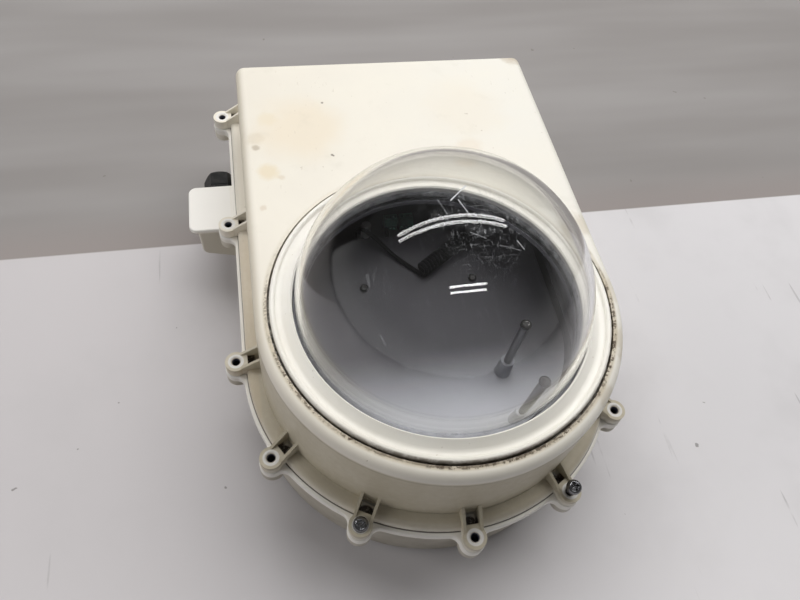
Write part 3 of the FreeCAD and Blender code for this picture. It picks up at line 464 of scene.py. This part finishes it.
# Painted shade: the holes' walls below the ear tops are coloured near black.
cream = (hole_rim * z.below(0.0640, 0.0015)).tint(cream, (0.012, 0.012, 0.014))
groove = radius.band(0.1070, 0.1088, 0.0003) * z.band(0.1205, 0.1266, 0.0006)
settled = at.noise(210.0, 5.0).step(0.30, 0.60) * (near_side * 0.55 + 0.45)
cream = (groove * settled).tint(cream, (0.085, 0.064, 0.044))
brown_edge = radius.band(0.1080, 0.1098, 0.0022) * z.above(0.1235) * (near_side * 0.45 + 0.15)
cream = (brown_edge * (fine * 0.5 + 0.7)).tint(cream, (0.42, 0.34, 0.21))
packed = radius.band(0.1070, 0.1094, 0.0007) * z.above(0.1205) * y.below(-0.082, 0.022)
cream = (packed * at.noise(150.0, 5.0).step(0.28, 0.55) * 0.8).tint(cream, (0.150, 0.115, 0.075))
stuck = radius.band(0.1080, 0.1097, 0.0012) * z.above(0.1235) * at.noise(420.0, 4.0).step(0.46, 0.58)
cream = (stuck * near_side * at.noise(45.0).step(0.30, 0.55)).tint(cream, (0.085, 0.060, 0.038))
rise = z - 0.0605
# Painted shade: the cover's inside under the ring and the dome's seat are coloured dark bluish grey.
painted_inside_shade = within(plan + rise * 0.0105, y + rise * 0.0374, 0.1170, 0.2338, 0.0070, (z - 0.1203).larger(0.0))
painted_inside_shade = painted_inside_shade * z.below(0.1213).larger(radius.above(0.1115)) * z.above(0.0598)
cream = painted_inside_shade.tint(cream, (0.105, 0.106, 0.125))
set_finish(shader, Base_Color=cream, Roughness=0.36 + fine * 0.14, Specular_IOR_Level=0.45, Normal=grain_of(at))
wear(cover_finish, "front_cover")

# The clamping ring: the same plastic with a smoother, pearly face, screwed up against the dome's flange from inside.
# Its outer wall stands in the groove, where black dirt has settled.
ring_finish, shader, at, plan, cream = cream_plastic("shell_ring")
y, z = at.part("Y"), at.part("Z")
radius = at.scaled((1.0, 1.0, 0.0)).length()
cream = (at.noise(30.0, 4.0).step(0.3, 0.7) * 0.3 + 0.6).tint(cream, (0.905, 0.890, 0.845))
tarnish = radius.above(0.1036, 0.0012) * y.below(-0.02, 0.05) * at.noise(60.0, 5.0).step(0.25, 0.75)
cream = (tarnish * 0.22).tint(cream, (0.60, 0.52, 0.38))
# Painted shade: the ring's near side, whose face tilts away from the light, is darker.
cream = (y.below(-0.088, 0.018) * 0.40).tint(cream, (0.600, 0.585, 0.535))
packed = radius.above(0.1060, 0.0005) * y.below(-0.082, 0.022) * at.noise(150.0, 5.0).step(0.30, 0.60)
cream = (packed * 0.7).tint(cream, (0.160, 0.125, 0.085))
specks = at.noise(380.0, 2.0, 0.4).step(0.74, 0.77)
cream = (specks * 0.35).tint(cream, (0.30, 0.22, 0.14))
low_dirt = radius.above(0.1064, 0.0004) * z.below(0.1262, 0.0010)
cream = (low_dirt * at.noise(200.0, 5.0).step(0.30, 0.58)).tint(cream, (0.090, 0.068, 0.046))
lip_shade = radius.below(0.0945, 0.0006) * z.below(0.1285, 0.0008)
cream = (lip_shade * 0.7).tint(cream, (0.14, 0.13, 0.14))
set_finish(shader, Base_Color=cream, Roughness=0.26 + at.noise(40.0) * 0.12, Specular_IOR_Level=0.55,
           Normal=bumped(at.noise(900.0, 3.0), 0.12, 0.0001))
wear(ring_finish, "dome_ring")

# Seals: grey-black rubber, cut from sheet for the dome and extruded as a cord for the cover's groove.
seal_finish, shader, at = new_finish("seal_rubber")
set_finish(shader, Base_Color=at.noise(150.0).tint((0.02, 0.02, 0.02), (0.045, 0.043, 0.04)), Roughness=0.75,
           Normal=bumped(at.noise(1200.0), 0.3, 0.0001))
wear(seal_finish, "cover_gasket", "dome_gasket", "gland_gasket", "gland_seal")

# Brass inserts under the ears, turned and pressed into the back shell, gone blue-black in the weather.
brass_finish, shader, at = new_finish("brass")
tarnish = at.noise(400.0).step(0.45, 0.8)
set_finish(shader, Base_Color=tarnish.tint((0.085, 0.090, 0.115), (0.24, 0.19, 0.11)), Metallic=1.0,
           Roughness=0.35 + tarnish * 0.2)
wear(brass_finish, "threaded_inserts")

# Screws: bright steel pan heads with a cross recess, dulled and dirty in the recess.
screw_finish, shader, at = new_finish("screw_steel")
stain = at.noise(500.0, 5.0).step(0.52, 0.74)
set_finish(shader, Base_Color=stain.tint((0.20, 0.20, 0.21), (0.06, 0.055, 0.05)), Metallic=0.95,
           Roughness=0.18 + stain * 0.35, Normal=bumped(at.noise(2200.0), 0.2, 0.0001))
wear(screw_finish, "cover_screw_seated", "cover_screw_raised", "ring_screws", "board_screws")
# Black screws of the tray and posts. The screw at the tray's nose shares the tray's pale film there, partly dust and
# partly painted light.
dark_finish, shader, at = new_finish("dark_steel")
nose_dust_and_light = at.part("Y").below(-0.062, 0.006) * at.part("Z").below(0.0790)
black = at.noise(600.0).tint((0.020, 0.020, 0.022), (0.06, 0.058, 0.056))
set_finish(shader, Base_Color=(nose_dust_and_light * 0.9).tint(black, (0.43, 0.445, 0.50)), Metallic=0.6 - nose_dust_and_light * 0.6,
           Roughness=nose_dust_and_light * 0.5 + 0.25)
wear(dark_finish, "standoff_screws", "tray_screws")

# The tray and its bosses: one dark grey moulding, half-gloss, with a pale bluish film that thickens towards the nose,
# partly dust and partly painted light.
tray_finish, shader, at = new_finish("tray_plastic")
y = at.part("Y")
patch = at.noise(25.0) - 0.5
# The mask named dust is partly dust and partly painted light: the tray turns pale and bluish towards the nose, where
# light comes in through the dome.
dust = (1 - (y + patch * 0.010).step(-0.070, -0.006)) * 0.95 + (1 - (y + patch * 0.02).step(-0.03, 0.10)) * 0.03
streak = at.scaled((1.0, 0.25, 1.0)).noise(160.0, 4.0).step(0.55, 0.8) * 0.03
left_shade = at.part("X").below(-0.068, 0.012) * 0.02
set_finish(shader, Base_Color=(dust + streak + left_shade).tint((0.039, 0.038, 0.045), (0.460, 0.475, 0.530)),
           Roughness=0.5 + dust * 0.3, Specular_IOR_Level=0.3, Normal=bumped(at.noise(900.0), 0.2, 0.0001))
wear(tray_finish, "camera_tray")

# The camera's two posts: turned aluminium rods.
post_finish, shader, at = new_finish("post_aluminium")
turned_marks = at.scaled((1.0, 1.0, 30.0)).noise(120.0, 2.0)
set_finish(shader, Base_Color=turned_marks.tint((0.13, 0.13, 0.14), (0.20, 0.20, 0.21)), Metallic=0.85,
           Roughness=0.36, Normal=bumped(turned_marks, 0.15, 0.0001))
wear(post_finish, "standoff_rear", "standoff_front")

# The control board: green lacquered laminate with green screw terminals, a can capacitor and a white header.
board_finish, shader, at = new_finish("board_green")
tracks = at.make("TexBrick", {"offset": 0.5}, {"Vector": at, "Scale": 260.0, "Mortar Size": 0.03}, out="Fac")
set_finish(shader, Base_Color=tracks.tint((0.022, 0.026, 0.030), (0.034, 0.044, 0.044)), Roughness=0.4)
wear(board_finish, "control_board")
terminal_finish, shader, at = new_finish("terminal_green")
set_finish(shader, Base_Color=at.noise(300.0).tint((0.035, 0.105, 0.080), (0.06, 0.15, 0.12)), Roughness=0.4)
wear(terminal_finish, "terminal_block_left", "terminal_block_right")
can_finish, shader, at = new_finish("can_aluminium")
set_finish(shader, Base_Color=at.noise(500.0).tint((0.30, 0.30, 0.31), (0.42, 0.42, 0.43)), Metallic=0.3,
           Roughness=0.45)
wear(can_finish, "capacitor")
header_finish, shader, at = new_finish("header_white")
set_finish(shader, Base_Color=at.noise(400.0).tint((0.30, 0.29, 0.27), (0.36, 0.35, 0.32)), Roughness=0.5)
wear(header_finish, "board_header", "lead_plug")

# The cable gland: black ribbed nylon out of the box's far wall.
gland_finish, shader, at = new_finish("gland_black")
chalk = at.noise(320.0, 5.0).step(0.45, 0.75)
set_finish(shader, Base_Color=(chalk * 0.5).tint((0.012, 0.012, 0.013), (0.06, 0.058, 0.056)),
           Roughness=0.42 + chalk * 0.25, Normal=bumped(at.noise(1500.0), 0.3, 0.0001))
wear(gland_finish, "gland_body", "gland_nut", "gland_locknut")

# The dome: clear acrylic, blown to a hemisphere with a short straight skirt and a flat flange that the ring clamps.
# It is scratched near its crown and holds a grey film of dirt just above the ring.
dome_radius, dome_wall, dome_centre, dome_skirt = 0.0918, 0.0030, 0.128, 0.006
flange_radius, flange_low = 0.1010, 0.119
arc = np.linspace(0.0, math.pi / 2, 97)
outside = np.stack([dome_radius * np.cos(arc), dome_centre + dome_radius * np.sin(arc)], axis=1)
inside_arc = np.stack([(dome_radius - dome_wall) * np.cos(arc[::-1]),
                       dome_centre + (dome_radius - dome_wall) * np.sin(arc[::-1])], axis=1)
foot = np.array([(dome_radius - dome_wall, flange_low), (flange_radius, flange_low),
                 (flange_radius, dome_centre - dome_skirt), (dome_radius, dome_centre - dome_skirt)])
profile = np.concatenate([outside, inside_arc, foot])


def turned_points(profile, sides):
    """Grid of a profile of (radius, height) turned about the upright axis: x = r cos a, y = r sin a, z = h."""
    angle = np.linspace(0.0, 2 * math.pi, sides, endpoint=False)
    points = np.zeros((len(profile), sides, 3))
    points[..., 0] = profile[:, 0, None] * np.cos(angle)
    points[..., 1] = profile[:, 0, None] * np.sin(angle)
    points[..., 2] = profile[:, 1, None]
    return points


def tidy_mesh(mesh, apart=1e-6):
    """Merges points that lie on each other and turns all faces outwards."""
    import bmesh
    work = bmesh.new()
    work.from_mesh(mesh)
    bmesh.ops.remove_doubles(work, verts=work.verts, dist=apart)
    bmesh.ops.dissolve_degenerate(work, edges=work.edges, dist=apart)
    bmesh.ops.recalc_face_normals(work, faces=work.faces)
    work.to_mesh(mesh)
    work.free()
    return mesh


def scratch(at, start, end, width):
    """1 on a straight scratch from start to end, by the distance to the nearest point of that line."""
    start, end = np.array(start) / 1000.0, np.array(end) / 1000.0
    run = end - start
    share = at.vector("SUBTRACT", tuple(start)).vector("DOT_PRODUCT", tuple(run / (run @ run)), out="Value")
    share = share.larger(0.0).smaller(1.0)
    along_run = at.make("VectorMath", {"operation": "SCALE"}, {0: tuple(run), "Scale": share})
    away = at.length(along_run.vector("ADD", tuple(start)))
    return away.below(width / 2000.0, width / 3000.0)


dome_finish, shader, at = new_finish("clear_acrylic")
set_finish(shader, Base_Color=(1.0, 1.0, 0.992, 1.0), Roughness=0.0, IOR=1.49, Transmission_Weight=1.0)
marks = 0.0
for start, end, width, depth in (
    ((-9.9, -0.1, 219.3), (-0.1, 8.5, 219.4), 0.7, 0.9), ((-6.1, -0.5, 219.6), (-2.9, -9.5, 219.3), 0.5, 0.7),
    ((19.8, -25.3, 214.0), (22.8, -29.4, 211.9), 0.5, 0.6), ((-16.4, 2.0, 218.3), (-13.5, -8.4, 218.4), 0.4, 0.4),
    ((-17.8, -7.4, 217.8), (-12.1, -13.9, 217.9), 0.4, 0.35), ((-4.2, -20.1, 217.5), (3.3, -24.0, 216.6), 0.4, 0.35),
    ((9.9, -27.8, 214.9), (20.4, -30.1, 212.3), 0.4, 0.30), ((-55.5, -25.6, 196.5), (-54.8, -31.0, 194.2), 1.6, 0.14),
    ((-52.3, -52.7, 182.0), (-50.3, -57.2, 179.2), 0.8, 0.22),
):
    marks = scratch(at, start, end, width) * depth + marks
crown = 1 - (at.length((0.002, -0.016, 0.218)) + (at.noise(45.0) - 0.5) * 0.03).step(0.010, 0.038)
fine_scratches = at.scaled((1.0, 0.12, 1.0)).noise(1100.0, 2.0, 0.5).step(0.62, 0.70)
cross_scratches = at.scaled((0.15, 1.0, 1.0)).noise(1000.0, 2.0, 0.5).step(0.63, 0.71)
rubbed = at.noise(90.0, 5.0, 0.7).step(0.50, 0.80) * 0.06
left_rub = 1 - (at.length((-0.056, -0.030, 0.195)) + (at.noise(70.0) - 0.5) * 0.02).step(0.004, 0.022)
scuffs = (crown + left_rub * 0.5) * (fine_scratches * 0.17 + cross_scratches * 0.13 + rubbed)
film = (1 - at.part("Z").step(0.1285, 0.134)) * 0.22 * at.noise(120.0).step(0.3, 0.7)
scuff = at.make("BsdfDiffuse", None, {"Color": (0.74, 0.76, 0.80, 1.0)})
scuffed_shell = at.make("MixShader", None, {0: (marks + scuffs + film).smaller(0.95),
                                            1: Socket(at.tree, shader.outputs[0]), 2: scuff})
shadow_ray = at.make("LightPath", out="Is Shadow Ray")
clear = at.make("BsdfTransparent", None, {"Color": (0.97, 0.97, 0.96, 1.0)})
lit_shell = at.make("MixShader", None, {0: shadow_ray, 1: scuffed_shell, 2: clear})
at.tree.links.new(lit_shell.link, at.tree.nodes["Material Output"].inputs["Surface"])
dome_mesh = tidy_mesh(grid_mesh("dome_shell", turned_points(profile, 192), closed_u=True, closed_v=True))
dome = add_piece("dome_shell", dome_mesh, "cover", dome_finish)
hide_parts("dome")
